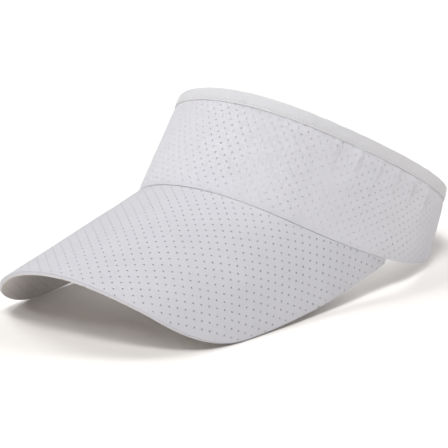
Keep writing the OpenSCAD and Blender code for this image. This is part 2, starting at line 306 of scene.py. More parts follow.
class Ripple:
    """Smooth noise: waves in seeded directions about one wavelength, from -1 to 1 or so."""

    def __init__(self, wavelength, seed, stretch=(1, 1), waves=9):
        rng = np.random.default_rng(seed)
        turn = rng.uniform(0, math.pi, waves)
        k = 2 * math.pi / wavelength * rng.uniform(0.7, 1.4, waves)
        self.k = np.stack([k * np.cos(turn), k * np.sin(turn)]) * np.array(stretch)[:, None]
        self.phase = rng.uniform(0, 2 * math.pi, waves)
        self.waves = waves

    def __call__(self, flat):
        total = np.sin(flat[..., :2] @ self.k + self.phase).sum(-1)
        return total / math.sqrt(self.waves / 2) / 1.8


# ---- Mesh builders ----

SHARP_ANGLE = 42
HOLE_SIDES = 8
NO_HOLES = np.zeros((0, 2))


def link(name, data):
    """A new object in the scene."""
    made = bpy.data.objects.new(name, data)
    bpy.context.scene.collection.objects.link(made)
    return made


def piece(name, points, faces, flat, material, body="visor"):
    """A mesh that carries its flat pattern as an attribute and rides on a body."""
    mesh = bpy.data.meshes.new(name)
    mesh.from_pydata(to_world(points).tolist(), [], faces)
    pattern = np.zeros((len(points), 3), np.float32)
    pattern[:, : flat.shape[1]] = flat
    attribute = mesh.attributes.new("flat", "FLOAT_VECTOR", "POINT")
    attribute.data.foreach_set("vector", pattern.ravel())
    mesh.materials.append(material)
    mesh.shade_smooth()
    mesh.set_sharp_from_angle(angle=math.radians(SHARP_ANGLE))
    made = link(name, mesh)
    if body:
        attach(made, body)
    own = material.name.split(".")[0]  # Blender numbers a name that the frame has taken
    return made


def cut_cloth(outline, step, holes=NO_HOLES, hole_r=0.0):
    """Triangles of a flat cloth with round holes: (points, triangles)."""
    points, edges = [], []
    turns = np.arange(HOLE_SIDES) * 2 * math.pi / HOLE_SIDES
    circle = np.stack([np.cos(turns), np.sin(turns)], 1)
    radii = np.broadcast_to(hole_r, len(holes))
    rings = [outline] + [c + r * circle for c, r in zip(holes, radii, strict=True)]
    for ring in rings:
        first = len(points)
        points.extend(ring)
        edges.extend((first + k, first + (k + 1) % len(ring)) for k in range(len(ring)))
    fill = even_fill(outline, step)
    points.extend(fill[clearance(fill, holes) > np.max(hole_r, initial=0) + 0.4 * step])
    made = delaunay_2d_cdt([Vector(p) for p in points], edges, [], 0, 1e-6)
    flat, triangles = np.array([tuple(v) for v in made[0]]), np.array(made[2])
    middle = flat[triangles].mean(1)
    keep = inside(middle, outline)
    if len(holes):
        parts = np.array_split(middle, 40)
        near = np.concatenate([((m[:, None] - holes) ** 2).sum(-1).argmin(1) for m in parts])
        keep &= np.linalg.norm(middle - holes[near], axis=1) > radii[near] * 0.93
    triangles = triangles[keep]
    a, b, c = flat[triangles.T]
    turned = np.cross(b - a, c - a) < 0
    triangles[turned] = triangles[turned][:, ::-1]
    return flat, triangles


def thick_cloth(name, cut, outer, inner, inward, material, body="visor"):
    """A piece of cloth between its outer and its inner points; inward points through it."""
    flat, triangles = cut
    n = len(flat)
    edges = np.concatenate([triangles[:, [k, (k + 1) % 3]] for k in range(3)])
    key = np.sort(edges, 1) @ [n, 1]
    _, index, uses = np.unique(key, return_index=True, return_counts=True)
    rim = edges[index[uses == 1]]
    walls = np.stack([rim[:, 1], rim[:, 0], rim[:, 0] + n, rim[:, 1] + n], 1)
    faces = triangles.tolist() + (triangles[:, ::-1] + n).tolist() + walls.tolist()
    some = triangles[:200]
    a, b, c = outer[some.T]
    if (np.cross(b - a, c - a) * inward[some[:, 0]]).sum() > 0:
        faces = [f[::-1] for f in faces]
    points, pattern = np.concatenate([outer, inner]), np.concatenate([flat, flat])
    return piece(name, points, faces, pattern, material, body)


def tube(rings):
    """Quads through rows of points, with the ends capped: (points, faces)."""
    n, m = rings.shape[:2]
    i, j = np.meshgrid(np.arange(n - 1), np.arange(m), indexing="ij")
    here, ahead, side = i * m, (i + 1) * m, (j + 1) % m
    quads = np.stack([here + j, here + side, ahead + side, ahead + j], -1).reshape(-1, 4)
    caps = [list(range(m))[::-1], list(range((n - 1) * m, n * m))]
    return rings.reshape(-1, 3), quads.tolist() + caps


def fibres(name, tubes, material, body):
    """One piece of many small tubes, each given as (rings, flat pattern)."""
    all_points, all_faces, all_flat, first = [], [], [], 0
    for rings, flat in tubes:
        points, faces = tube(rings)
        all_points.append(points)
        all_faces += [[first + v for v in f] for f in faces]
        all_flat.append(flat)
        first += len(points)
    points, pattern = np.concatenate(all_points), np.concatenate(all_flat)
    return piece(name, points, all_faces, pattern, material, body)


def run_length(line):
    """Distance along a line of points, at each point."""
    return np.concatenate([[0], np.cumsum(np.linalg.norm(np.diff(line, axis=0), axis=1))])


def stitches(name, node, rows, pitch=STITCH_PITCH, length=STITCH_L, r=STITCH_R, body="visor"):
    """Rows of raised stitches on the crown, in place of a CAD node.

    A row is (flat path, depth of the face, facing: 1 out or -1 in).
    """
    tubes, rounds, sides = [], 7, 7
    k = np.linspace(0, 1, rounds)
    belly = np.sqrt(np.clip(1 - (2 * k - 1) ** 4, 0.02, 1))
    turns = np.arange(sides) * 2 * math.pi / sides
    for path, depth, facing in rows:
        run = run_length(path)
        count = int(run[-1] // pitch)
        starts = np.arange(count) * pitch + (run[-1] - count * pitch) / 2 + (pitch - length) / 2
        for start in starts:
            at = start + k * length
            flat = np.stack([np.interp(at, run, path[:, c]) for c in (0, 1)], 1)
            base, inward = on_crown(flat)
            ahead = unit(np.gradient(base, axis=0))
            across = unit(np.cross(ahead, inward))
            lift = facing * r * (0.75 * belly - 0.35)
            centre = base + inward * (depth - lift)[:, None]
            ring = centre[:, None] + (r * belly)[:, None, None] * (
                np.cos(turns)[None, :, None] * across[:, None]
                + 0.8 * np.sin(turns)[None, :, None] * inward[:, None]
            )
            around = np.tile(turns * r, rounds)
            tubes.append((ring, np.stack([np.repeat(at, sides), around], 1)))
    made = fibres(name, tubes, thread_material, body)
    if node:
        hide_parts(node)


# ---- Materials ----


class Nodes:
    """A material's node tree, with short calls to add to it."""

    def __init__(self, name, **sockets):
        self.material = bpy.data.materials.new(name)
        self.material.use_nodes = True
        self.tree = self.material.node_tree
        self.shader = self.tree.nodes["Principled BSDF"]
        for key, value in sockets.items():
            self.shader.inputs[key.replace("_", " ")].default_value = value

    def add(self, kind, inputs=None, **settings):
        made = self.tree.nodes.new("ShaderNode" + kind)
        for key, value in settings.items():
            setattr(made, key, value)
        for key, value in (inputs or {}).items():
            if isinstance(value, bpy.types.NodeSocket):
                self.tree.links.new(value, made.inputs[key])
            else:
                made.inputs[key].default_value = value
        return made

    def math(self, operation, a, b=0.0):
        return self.add("Math", {0: a, 1: b}, operation=operation).outputs[0]

    def waves(self, value, wavelength):
        return self.math("SINE", self.math("MULTIPLY", value, 2 * math.pi / wavelength))

    def pattern(self):
        """The flat pattern, in millimetres."""
        return self.add("Attribute", attribute_name="flat").outputs["Vector"]

    def split(self, vector):
        return self.add("SeparateXYZ", {"Vector": vector}).outputs[:2]

    def noise(self, vector, scale, detail=3.0, roughness=0.5):
        inputs = {"Vector": vector, "Scale": scale, "Detail": detail, "Roughness": roughness}
        return self.add("TexNoise", inputs).outputs["Fac"]

    def colour(self, factor, low, high):
        """Base colour that goes from low to high with a factor."""
        ramp = self.add("ValToRGB", {"Fac": factor})
        for stop, place, colour in zip(ramp.color_ramp.elements, (0.3, 0.7), (low, high)):
            stop.position, stop.color = place, (*colour, 1)
        self.tree.links.new(ramp.outputs["Color"], self.shader.inputs["Base Color"])

    def bump(self, height, distance, strength=1.0, normal=None):
        """distance is the bump's height in millimetres."""
        inputs = {"Height": height, "Distance": distance * MM, "Strength": strength}
        if normal is not None:
            inputs["Normal"] = normal
        return self.add("Bump", inputs).outputs["Normal"]

    def finish(self, normal):
        self.tree.links.new(normal, self.shader.inputs["Normal"])
        return self.material


def shade(colour, share):
    return tuple(min(1.0, c * share) for c in colour)


def woven(name, colour, pitch, relief, roughness=0.8, sheen=0.25, mottle=0.03):
    """Plain woven or knitted cloth: threads that pass over and under, with uneven dye and fuzz."""
    n = Nodes(name, Roughness=roughness, Sheen_Weight=sheen, Sheen_Roughness=0.45)
    at = n.pattern()
    weave = n.math("MULTIPLY", *(n.waves(part, pitch) for part in n.split(at)))
    n.colour(n.noise(at, 0.035, 4, 0.6), shade(colour, 1 - mottle), shade(colour, 1 + mottle / 2))
    normal = n.bump(n.noise(at, 0.1, 2), 0.2, 0.15)
    normal = n.bump(n.noise(at, 2.2, 4), 0.02, 0.4, normal)
    return n.finish(n.bump(weave, relief, 1.0, normal))


def twisted_thread(name, colour):
    n = Nodes(name, Roughness=0.6, Sheen_Weight=0.2)
    ahead, around = n.split(n.pattern())
    twist = n.math("ADD", n.math("MULTIPLY", ahead, 9), around)
    n.colour(n.noise(n.pattern(), 0.8), shade(colour, 0.95), colour)
    return n.finish(n.bump(n.math("SINE", twist), 0.03))


def towelling(name, colour):
    """Looped pile: small round loops, with painted shade in the gaps between them."""
    n = Nodes(name, Roughness=0.95, Sheen_Weight=0.5, Sheen_Roughness=0.5)
    at = n.pattern()
    loops = n.add("TexVoronoi", {"Vector": at, "Scale": 1.25, "Randomness": 0.85})
    height = n.math("SUBTRACT", 1.0, loops.outputs["Distance"])
    # Darker towards the gaps between loops: painted shade
    n.colour(height, shade(colour, 0.86), colour)
    normal = n.bump(n.noise(at, 4.0, 4), 0.1, 0.7)
    return n.finish(n.bump(height, 0.35, 0.9, normal))


def foam(name, colour, cell):
    n = Nodes(name, Roughness=0.9)
    at = n.pattern()
    cells = n.add("TexVoronoi", {"Vector": at, "Scale": cell}).outputs["Distance"]
    n.colour(n.noise(at, 0.5), shade(colour, 0.97), colour)
    return n.finish(n.bump(cells, 0.08, 0.6))


def moulded(name, colour, roughness):
    n = Nodes(name, Roughness=roughness, Specular_IOR_Level=0.4)
    at = n.pattern()
    n.colour(n.noise(at, 0.3), shade(colour, 0.96), colour)
    return n.finish(n.bump(n.noise(at, 3.0, 3), 0.05, 0.5))


def satin(name, colour):
    n = Nodes(name, Roughness=0.38, Sheen_Weight=0.1, Anisotropic=0.5)
    _, up = n.split(n.pattern())
    n.colour(n.noise(n.pattern(), 0.15), shade(colour, 0.97), colour)
    return n.finish(n.bump(n.waves(up, 0.45), 0.02))


# Linear colours of cool light grey cloth
CLOTH = (0.70, 0.695, 0.735)
PALE = (0.80, 0.80, 0.82)
panel_material = woven("perforated_cloth", CLOTH, 0.42, 0.05)
bill_material = woven("bill_cloth", shade(CLOTH, 0.87), 0.42, 0.04, roughness=0.7, sheen=0.0)
under_material = woven("bill_under_cloth", (0.70, 0.66, 0.635), 0.42, 0.04, roughness=0.75)
binding_material = woven("binding_cloth", (0.71, 0.705, 0.725), 0.5, 0.06)
strap_material = woven("strap_cloth", (0.75, 0.745, 0.78), 0.6, 0.08)
lining_material = woven("lining_cloth", PALE, 0.9, 0.12, mottle=0.04)
stiffener_material = woven("interlining", (0.78, 0.78, 0.79), 0.7, 0.05, mottle=0.06)
thread_material = twisted_thread("sewing_thread", (0.58, 0.58, 0.62))
towel_material = towelling("towelling", (0.82, 0.82, 0.83))
soft_foam_material = foam("soft_foam", (0.85, 0.85, 0.82), 1.6)
board_edge_material = foam("board_edge", (0.63, 0.63, 0.665), 2.5)
# Dark grey board face, seen only through the perforations: painted shade inside the holes
board_face_painted_shade_material = foam("board_face_painted_shade", (0.42, 0.42, 0.47), 2.5)
hook_material = moulded("hook_nylon", (0.68, 0.68, 0.71), 0.35)
loop_material = moulded("loop_nylon", (0.74, 0.74, 0.76), 0.8)
label_material = satin("label_satin", (0.86, 0.86, 0.86))

# ---- Crown ----

S_END = crown_s(CROWN_END)
HEM_R, HEM_W, ROLL = 0.97, 6.0, 1.2
STIFFENER_END = CROWN_END - 35 * 2.5
CROWN_LATTICE = {"at": (62.5, 18.1), "row": (3.224, -0.367), "column": (0.692, 2.91)}
# Folds that hang from the binding: distance round, reach down, half width, lift
FOLDS = [
    (82, 15, 3.6, 1.1), (98, 18, 4.0, 2.1), (114, 16, 3.8, 1.9), (129.5, 14, 3.4, 1.7),
    (145, 15, 3.4, 2.2), (163, 15, 3.6, 2.2), (184, 12, 3.2, 0.6), (56, 9, 3.5, 0.38),
    (-37, 24, 4.5, 0.75), (-88, 14, 3.2, 0.75), (-107, 16, 3.2, 0.90),
    (-126, 13, 2.8, 0.75), (-151, 14, 3.2, 0.75), (-178, 12, 3.0, 0.60),
]
# Broad creases: place, direction in degrees, half length, half width, lift
CREASES = [
    ((104, 23), 14, 24, 6.0, 0.7), ((158, 20), 8, 22, 6.0, 0.5),
    ((-110, 22), -12, 26, 6.0, 0.6), ((18, 30), 70, 26, 9.0, 0.35),
    ((-18, 18), 100, 20, 9.0, 0.35),
]
pucker = Ripple(7, 11, stretch=(1, 0.15))
billow = Ripple(46, 12)


def crown_lift(flat):
    """How far the crown's cloth stands off its backing: billows, creases and folds."""
    s, h = flat[:, 0], flat[:, 1]
    lift = 0.25 * (1 + billow(flat))
    for at, turn, length, width, height in CREASES:
        d = flat - at
        run, across = d @ heading(90 - turn), d @ heading(-turn)
        lift += height * np.exp(-((run / length) ** 2) - (across / width) ** 2)
    below = np.maximum(top_h(crown_angle(s)) - BINDING_H - h, 0)
    for at, reach, width, height in FOLDS:
        drift = at - 0.12 * np.sign(at) * below
        fade = np.exp(-((below / reach) ** 2))
        off = (s - drift) * np.sign(at)
        side = np.where(off > 0, 0.45 * width, 1.2 * width)
        lift += height * fade * np.exp(-((off / side) ** 2))
    lift += 0.1 * np.exp(-below / 5) * (1 + pucker(flat))
    ends = np.clip((S_END - 10 - np.abs(s)) / 14, 0, 1)
    low = np.clip((h - edge_h(crown_angle(s))) / 7, 0, 1) ** 0.7
    high = 0.08 + 0.92 * np.clip(below / 4, 0, 1)
    return np.maximum(lift, 0) * ends * low * high


def on_panel(flat):
    """The crown's cloth: creased, rolled in at its lower edge and hemmed at its rear ends."""
    side, past = np.sign(flat[:, 0]), np.abs(flat[:, 0]) - S_END
    turn = np.clip(past / HEM_R, 0, math.pi)
    back = np.maximum(past - math.pi * HEM_R, 0)
    s = np.where(past > 0, S_END + HEM_R * np.sin(turn) - back, np.abs(flat[:, 0])) * side
    a = crown_angle(s)
    up = np.clip(1 - (flat[:, 1] - edge_h(a)) / ROLL, 0, 1)
    depth = HEM_R * (1 - np.cos(turn)) + 0.3 * up**2 - crown_lift(flat)
    _, inward = on_crown(np.stack([s, flat[:, 1]], 1))
    ahead = side[:, None] * np.stack([cos(a), sin(a), 0 * a], 1)
    thick = inward * np.cos(turn)[:, None] - ahead * np.sin(turn)[:, None]
    return wall(a, flat[:, 1], depth), thick


def above_edge(rise):
    return lambda a: edge_h(a) + rise


def below_top(drop):
    return lambda a: top_h(a) - drop


def band(end, low, high, step=1.5):
    """Outline round the crown between two heights, each given as a function of the angle."""
    s = np.linspace(-end, end, int(2 * end / step))
    a = crown_angle(np.clip(s, -S_END, S_END))
    bottom, top = np.stack([s, low(a)], 1), np.stack([s, high(a)], 1)
    right = np.linspace(bottom[-1], top[-1], 20)[1:-1]
    left = np.linspace(top[0], bottom[0], 20)[1:-1]
    return np.concatenate([bottom, right, top[::-1], left])


def crown_cloth():
    outline = band(S_END + math.pi * HEM_R + HEM_W, edge_h, below_top(2))
    holes = lattice(outline, **CROWN_LATTICE, margin=1.2)
    rearward = ((np.abs(holes[:, 0]) - 110) / 50).clip(0, 1)
    sizes = 0.355 + 0.06 * Ripple(50, 13)(holes) + 0.05 * rearward + 0.03 * uneven(holes, 3)
    cut = cut_cloth(outline, 1.7, holes, sizes)
    outer, inward = on_panel(cut[0])
    inner = outer + PANEL_T * inward
    cloth = thick_cloth("crown_cloth", cut, outer, inner, inward, panel_material)
    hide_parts("crown_panel")


def uneven(holes, seed):
    """A random share for each hole, from -2 to 2."""
    return np.random.default_rng(seed).standard_normal(len(holes)).clip(-2, 2)


def plain_layer(name, node, outline, depths, step, material, lift=None):
    """A layer of the crown without holes, between two depths; lift is a depth to add."""
    cut = cut_cloth(outline, step)
    base, inward = on_crown(cut[0])
    if lift is not None:
        base = base + inward * lift(cut[0])[:, None]
    outer, inner = (base + depth * inward for depth in depths)
    layer = thick_cloth(name, cut, outer, inner, inward, material)
    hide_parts(node)


def crown_lining():
    drape = Ripple(22, 21)

    def slack(flat):
        ends = np.clip((S_END - 12 - np.abs(flat[:, 0])) / 20, 0, 1)
        high = np.clip((top_h(crown_angle(flat[:, 0])) - BINDING_H - flat[:, 1]) / 6, 0, 1)
        return 0.25 * (1 + drape(flat)) * ends * high

    outline = band(S_END - 0.8, above_edge(0.3), below_top(3))
    plain_layer(
        "crown_lining_cloth", "crown_lining", outline, (LINING_OUT, LINING_IN), 2.5,
        lining_material, slack,
    )


def stiffener():
    outline = band(crown_s(STIFFENER_END), above_edge(1), below_top(2))
    plain_layer(
        "crown_stiffener_cloth", "front_stiffener", outline, (STIFFENER_OUT, STIFFENER_IN), 2.5,
        stiffener_material,
    )


def bill_seam():
    """The tape over the bill's seam allowance, and the thread that holds it."""
    end = crown_s(BILL_END)
    outline = band(end, above_edge(0.9), above_edge(9))
    plain_layer(
        "seam_tape_cloth", "seam_tape", outline, (SEAM_TAPE_OUT, SEAM_TAPE_IN), 1.6,
        binding_material,
    )
    rows = [(crown_path(above_edge(4), 1 - end, end - 1), SEAM_TAPE_IN, -1)]
    stitches("bill_seam_stitches", "bill_seam_stitching", rows, 3, 2.4, 0.15)


BINDING_OUT, BINDING_IN, BINDING_LEG, BINDING_STITCH_H = -0.42, 1.9, 0.45, 1.35
# The binding is pressed flat beyond this distance, so that the straps clear it
FLAT_FROM = crown_s(126)


def binding_ring(s, squeeze, flatten):
    """Closed section of the folded binding at a distance round the crown, and its lower edge."""
    h = top_h(crown_angle(s))
    low = h - BINDING_H
    out, inn, leg = BINDING_OUT - 0.1 * flatten, BINDING_IN + 0.5 * flatten, BINDING_LEG
    edge = leg / 2
    turn = np.linspace(math.pi, 2 * math.pi, 7)
    swing, rise = edge * np.cos(turn - math.pi), low + edge + edge * np.sin(turn)
    lower_out, lower_in = (np.stack([at - swing, rise], 1) for at in (out + edge, inn - edge))
    turn = np.linspace(0, math.pi, 15)
    middle, width = (out + inn) / 2, (inn - out) / 2
    fold = np.stack([middle - width * np.cos(turn), h - 0.75 + 1.3 * np.sin(turn)], 1)
    up = np.linspace(low + leg, h - 1, 11)[:, None]
    outer_leg, inner_leg = (np.concatenate([np.full_like(up, at), up], 1) for at in (out, inn))
    hidden = np.array([[inn - leg, h - 1.2], [out + leg, h - 1.2]])
    parts = [lower_out[::-1], outer_leg, fold, inner_leg[::-1], lower_in[::-1], hidden]
    ring = np.concatenate(parts)
    ring[:, 0] = middle + (ring[:, 0] - middle) * squeeze
    return ring, low


def top_binding():
    wave, tuck = Ripple(13, 31, stretch=(1, 0.5)), Ripple(5.5, 32, stretch=(1, 0.4))
    end = S_END + HEM_R + 0.35
    close = end - np.geomspace(0.04, 1.2, 8)
    s = np.unique(np.concatenate([np.arange(-end, end, 0.65), close, [end]]))
    s = np.unique(np.concatenate([s, -s]))
    rings, flats, widths = [], [], []
    for at in s:
        squeeze = math.sqrt(max(0.02, 1 - max(0.0, 1 - (end - abs(at)) / 1.2) ** 2))
        flatten = np.clip((FLAT_FROM - abs(at)) / 15, 0, 1)
        ring, low = binding_ring(np.clip(at, -S_END, S_END), squeeze, flatten)
        run = run_length(ring)
        flat = np.stack([np.full(len(ring), at), run], 1)
        widths.append((run[-1] + np.linalg.norm(ring[0] - ring[-1])) / 2)
        above = ring[:, 1] - low
        outside, inner = ring[:, 0] < -0.25, ring[:, 0] > 1.8
        on_line = np.exp(-(((above - BINDING_STITCH_H) / 0.45) ** 2))
        beat = 0.5 + 0.5 * math.cos(2 * math.pi * at / STITCH_PITCH)
        swell = np.sin(math.pi * np.clip(above / BINDING_H, 0, 1))
        puff = 0.22 * swell + 0.13 * wave(flat) * swell
        puff += 0.10 * tuck(flat) * np.exp(-((above - 2.4) / 1.6) ** 2)
        lift = (puff * flatten - (0.10 + 0.10 * beat) * on_line) * squeeze
        ring[:, 0] += np.where(outside, -lift, np.where(inner, lift, 0))
        ring[:, 1] += np.where(above > BINDING_H - 1.5, 0.12 * wave(flat), 0)
        rings.append(wall(crown_angle(at), ring[:, 1], ring[:, 0]))
        flats.append(flat)
    points, faces = tube(np.array(rings))
    pattern = np.concatenate(flats)
    faces = [f[::-1] for f in faces]
    binding = piece("top_binding_cloth", points, faces, pattern, binding_material)
    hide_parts("top_binding")


def crown_path(height, start, end):
    """Path round the crown at a height that height(angle) gives."""
    s = np.arange(start, end, 0.8)
    return np.stack([s, height(crown_angle(s))], 1)


def binding_stitches():
    line = below_top(BINDING_H - BINDING_STITCH_H)
    stop = crown_s(141)
    outer, inner = crown_path(line, -stop, stop), crown_path(line, 3 - FLAT_FROM, FLAT_FROM - 3)
    rows = [(outer, BINDING_OUT, 1), (inner, BINDING_IN + 0.4, -1)]
    stitches("binding_stitches", "top_binding_stitching", rows)


def hem_stitches():
    rows = []
    for side in (-1, 1):
        s = side * (S_END - 3.5)
        a = crown_angle(s)
        height = np.linspace(edge_h(a) + 2, top_h(a) - BINDING_H - 0.5, 30)
        rows.append((np.stack([np.full(30, s), height], 1), 0.0, 1))
    stitches("crown_hem_stitches", None, rows)


crown_cloth()
stiffener()
crown_lining()
bill_seam()
top_binding()
binding_stitches()
hem_stitches()

# ---- Bill ----

COVER_T, BOARD_OUT, BOARD_IN, UNDER_OUT, UNDER_IN = 0.5, 0.55, 1.95, 2.0, 2.5
COVER_INSET, PINCH = 0.12, 1.6
BILL_LATTICE = {"at": (20.76, 58.39), "row": (3.361, -0.303), "column": (0.206, 3.495)}
bill_sway = Ripple(48, 41)


def bill_outline(inset):
    """Flat pattern of a bill layer, with its outer edge set in."""
    u = np.linspace(-1, 1, 261)
    near, far = bill_flat(u, 0), bill_edge(u)
    far = far - inset * unit(far - near)
    sides = [np.linspace(near[k], far[k], 5)[1:-1] for k in (-1, 0)]
    return np.concatenate([near, sides[0], far[::-1], sides[1][::-1]])


def bill_layer(name, holes, hole_r, inset, out, inner, material, face):
    """A layer of the bill between two depths; face is 1 if its good side is up and -1 if down."""
    cut = cut_cloth(bill_outline(inset), 1.8, holes, hole_r)
    flat = cut[0]
    base, down = on_bill(flat)
    u = np.linspace(-1, 1, 500)
    from_edge, from_seam = clearance(flat, bill_edge(u)), clearance(flat, bill_flat(u, 0))
    sway = 0.13 * bill_sway(flat) * np.clip(from_seam / 25, 0, 1)
    pinch = 0.15 * np.clip(1 - from_edge / PINCH, 0, 1) ** 2
    tuck = 0.2 * np.clip(1 - from_seam / 1.3, 0, 1) ** 2
    outer = base + (out + sway + (pinch + tuck if face > 0 else 0))[:, None] * down
    under = base + (inner + sway - (pinch if face < 0 else 0))[:, None] * down
    if face > 0:
        under += (0.5 * pinch)[:, None] * down
    layer = thick_cloth(name, cut, outer, under, down, material)
    if face:
        bill_outline(inset)
    return layer


def bill():
    edge = bill_outline(COVER_INSET)
    holes = lattice(edge, **BILL_LATTICE, margin=0.9)
    sizes = 0.49 + 0.05 * (holes[:, 0] / 75).clip(-1, 1) + 0.03 * uneven(holes, 5)
    top = bill_layer("bill_top_cloth", holes, sizes, COVER_INSET, 0, COVER_T, bill_material, 1)
    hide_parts("bill_top_cover")
    depths = BOARD_OUT, BOARD_IN
    board = bill_layer("bill_board", NO_HOLES, 0.0, 0.0, *depths, board_face_painted_shade_material, 0)
    board.data.materials.append(board_edge_material)
    # Triangles, the board's faces under the holes, take the painted hole shade; quads, its cut
    # edge, take the edge colour
    for polygon in board.data.polygons:
        polygon.material_index = int(len(polygon.vertices) == 4)
    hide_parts("bill_core")
    holes = lattice(edge, **dict(BILL_LATTICE, at=(19.9, 57.3)), margin=0.9)
    depths = UNDER_OUT, UNDER_IN
    under = bill_layer("bill_under_cloth", holes, 0.57, COVER_INSET, *depths, under_material, -1)
    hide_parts("bill_under_cover")


bill()

# ---- Sweatband ----

BAND_OUT, BAND_IN, BAND_STITCH_H, FOAM_END = 3.7, 4.4, 2.2, 70


def band_profile():
    """Closed section of the towelling, as depth and height, and which points are held still."""
    top = SWEATBAND_H
    up = np.linspace(1.6, top - 1.2, 11)
    face = np.stack([np.full(11, BAND_IN), up], 1)
    crest = [[BAND_IN - 0.05, top - 0.5], [4.05, top - 0.1], [3.75, top - 0.5]]
    rear = np.stack([np.full(7, BAND_OUT), np.linspace(top - 1.4, 1.6, 7)], 1)
    fold = [[3.6, 1.0], [2.6, 0.85], [1.6, 0.85], [1.5, 0.5]]
    fold += [[1.6, 0.15], [2.8, 0.12], [3.9, 0.2], [4.3, 0.7]]
    held = np.concatenate([np.zeros(13), np.ones(16)])
    held[np.argmin(np.abs(up - BAND_STITCH_H))] = 1
    return np.concatenate([face, crest, rear, fold]), held


SWELLING = {
    "quality": 6, "mass": 0.3, "tension_stiffness": 12, "compression_stiffness": 12,
    "shear_stiffness": 6, "bending_stiffness": 0.3, "shrink_min": -0.05, "use_pressure": True,
    "uniform_pressure_force": 3, "vertex_group_mass": "held",
}


def swollen(mesh, held, cap):
    """How far the towelling swells in a cloth simulation, up to a cap in millimetres."""
    scale = 100  # The solver's limits suit a piece larger than life
    mesh = mesh.copy()
    start = np.array([v.co for v in mesh.vertices]) * scale
    mesh.vertices.foreach_set("co", start.ravel())
    pad = link("towel_run", mesh)
    group = pad.vertex_groups.new(name="held")
    group.add(np.nonzero(held)[0].tolist(), 1.0, "REPLACE")
    cloth = pad.modifiers.new("cloth", "CLOTH").settings
    for key, value in SWELLING.items():
        setattr(cloth, key, value)
    cloth.effector_weights.gravity = 0
    scene = bpy.context.scene
    for step in range(1, 21):
        scene.frame_set(step)
    done = pad.evaluated_get(bpy.context.evaluated_depsgraph_get())
    moved = np.array([v.co for v in done.data.vertices]) - start
    far = np.linalg.norm(moved, axis=1)
    limit = cap * MM * scale
    moved *= (limit * np.tanh(far / limit) / np.maximum(far, 1e-9))[:, None]
    bpy.data.objects.remove(pad)
    bpy.data.meshes.remove(mesh)
    scene.frame_set(1)
    return moved / scale


def sweatband():
    ring, held = band_profile()
    end = S_END - 0.4
    s = np.linspace(-end, end, 191)
    a = crown_angle(s)
    points = np.array([wall(x, edge_h(x) + ring[:, 1], ring[:, 0]) for x in a])
    flat = np.stack(np.meshgrid(s, run_length(ring), indexing="ij"), -1).reshape(-1, 2)
    verts, faces = tube(points)
    towel = piece("sweatband_towel", verts, [f[::-1] for f in faces], flat, towel_material, None)
    fixed = np.tile(held, (len(s), 1))
    fixed[[0, -1]] = 1
    moved = swollen(towel.data, fixed.ravel(), 1.1)
    now = np.array([v.co for v in towel.data.vertices]) + moved
    towel.data.vertices.foreach_set("co", now.ravel())
    towel.modifiers.new("smooth", "SUBSURF").levels = 2
    depsgraph = bpy.context.evaluated_depsgraph_get()
    fine = bpy.data.meshes.new_from_object(towel.evaluated_get(depsgraph))
    towel.modifiers.clear()
    towel.data = fine
    count = len(fine.vertices)
    at, pattern, normal = np.empty((3, count, 3))
    fine.vertices.foreach_get("co", at.ravel())
    fine.attributes["flat"].data.foreach_get("vector", pattern.ravel())
    fine.vertex_normals.foreach_get("vector", normal.ravel())
    lift = 0.07 * MM * Ripple(4.5, 51, waves=14)(pattern[:, :2])
    fine.vertices.foreach_set("co", (at + lift[:, None] * normal).ravel())
    fine.shade_smooth()
    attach(towel, "visor")
    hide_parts("sweatband")


def band_foam():
    """The thin foam behind the front of the sweatband, softly rounded along its edges."""
    outline = band(crown_s(FOAM_END), above_edge(1), above_edge(SWEATBAND_H - 2), 2)
    cut = cut_cloth(outline, 2)
    base, inward = on_crown(cut[0])
    soft = 0.3 * np.clip(1 - clearance(cut[0], outline) / 1.5, 0, 1) ** 2
    wavy = 0.04 * Ripple(9, 61)(cut[0])
    outer = base + (FOAM_OUT + soft + wavy)[:, None] * inward
    inner = base + (FOAM_IN - soft + wavy)[:, None] * inward
    pad = thick_cloth("sweatband_pad", cut, outer, inner, inward, soft_foam_material)
    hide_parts("sweatband_foam")


def band_stitches():
    path = crown_path(above_edge(BAND_STITCH_H), 2 - S_END, S_END - 2)
    rows = [(path, BAND_IN - 0.05, -1)]
    stitches("sweatband_stitches", "sweatband_stitching", rows, 3.2, 2.4)


sweatband()
band_foam()
band_stitches()

# ---- Straps ----


def strap_outline(tip, root, low, width, r):
    """Flat pattern of a strap with a rounded tip."""
    side = 1 if tip > root else -1
    turn = np.linspace(0, 90, 9)
    top = np.stack([tip - side * r * (1 - sin(turn)), low + width - r * (1 - cos(turn))], 1)
    bottom = np.stack([tip - side * r * (1 - cos(turn)), low + r * (1 - sin(turn))], 1)
    lower = np.linspace([tip - side * r, low], [root, low], int(abs(tip - root) / 1.3))
    upper = lower[::-1] + [0, width]
    end = np.linspace(lower[-1], upper[0], 18)
    return np.concatenate([top, bottom, lower[1:], end[1:-1], upper[:-1]])


def webbing(name, tip, root, low, width, r, out, thick, material, body, rests_on):
    """A strap or tape at a depth, softly rounded at its edges."""
    outline = strap_outline(tip, root, low, width, r)
    cut = cut_cloth(outline, 1.3)
    base, inward = on_crown(cut[0])
    from_edge = clearance(cut[0], outline)
    inner = out + thick
    round_off = 0.28 * (inner - out) * np.clip(1 - from_edge / 0.9, 0, 1) ** 2
    outer_face = base + (out + round_off)[:, None] * inward
    inner_face = base + (inner - round_off)[:, None] * inward
    made = thick_cloth(name, cut, outer_face, inner_face, inward, material, body)
    return made


def tape_rows(ends, depth, facing):
    """Rows of stitches in a rectangle along the edge of a tape."""
    inset = 1.35
    low, high = TAPE_LOW + inset, TAPE_LOW + TAPE_W - inset
    s0, s1 = crown_s(ends) + [inset, -inset]
    corners = np.array([[s0, low], [s1, low], [s1, high], [s0, high], [s0, low]])
    return [(np.linspace(*corners[k : k + 2], 40), depth, facing) for k in range(4)]


